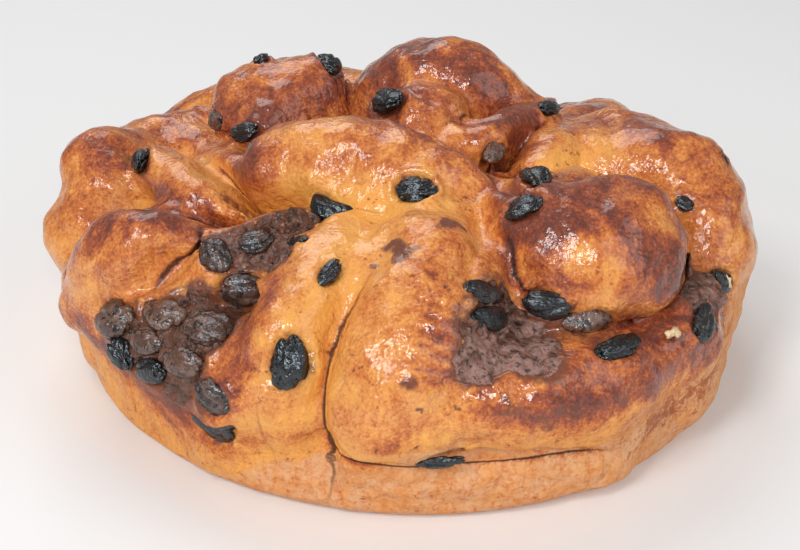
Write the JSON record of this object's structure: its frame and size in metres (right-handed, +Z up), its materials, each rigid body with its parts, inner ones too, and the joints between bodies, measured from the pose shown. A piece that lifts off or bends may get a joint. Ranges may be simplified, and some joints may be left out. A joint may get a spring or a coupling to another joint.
{
  "type": "round plaited raisin bread",
  "caption": "Round sweet bread plaited from thick rolls of glossy brown dough, with raisins and dark filling showing in its folds and a flat base.",
  "frame": {"origin": "middle of the flat base that the loaf rests on", "axes": "+Z up from the base; -Y towards the side that shows in the picture, with the plait's seam; +X to the right seen from there"},
  "size_m": [0.1979, 0.2057, 0.0853],
  "materials": {
    "crust": "glazed golden brown crust, glossy on top and matt on the lower wall",
    "filling": "dark brown rough filling",
    "raisin": "wrinkled glossy dark raisin skin"
  },
  "bodies": {
    "root": {"loaf": "crust", "filling_left": "filling", "filling_middle": "filling", "filling_right": "filling", "filling_edge": "filling", "filling_back": "filling", "raisin_01": "raisin", "raisin_02": "raisin", "raisin_03": "raisin", "raisin_04": "raisin", "raisin_05": "raisin", "raisin_06": "raisin", "raisin_07": "raisin", "raisin_08": "raisin", "raisin_09": "raisin", "raisin_10": "raisin", "raisin_11": "raisin", "raisin_12": "raisin", "raisin_13": "raisin", "raisin_14": "raisin", "raisin_15": "raisin", "raisin_16": "raisin", "raisin_17": "raisin", "raisin_18": "raisin", "raisin_19": "raisin", "raisin_20": "raisin", "raisin_21": "raisin", "raisin_22": "raisin", "raisin_23": "raisin", "raisin_24": "raisin", "raisin_25": "raisin", "raisin_26": "raisin", "raisin_27": "raisin", "raisin_28": "raisin", "raisin_29": "raisin", "raisin_30": "raisin", "raisin_31": "raisin", "raisin_32": "raisin", "raisin_33": "raisin", "raisin_34": "raisin", "raisin_35": "raisin", "raisin_36": "raisin", "raisin_37": "raisin", "raisin_38": "raisin", "raisin_39": "raisin", "raisin_40": "raisin", "raisin_41": "raisin", "raisin_42": "raisin", "raisin_43": "raisin", "raisin_44": "raisin", "raisin_45": "raisin", "raisin_46": "raisin", "raisin_47": "raisin", "raisin_48": "raisin"}
  },
  "joints": []
}
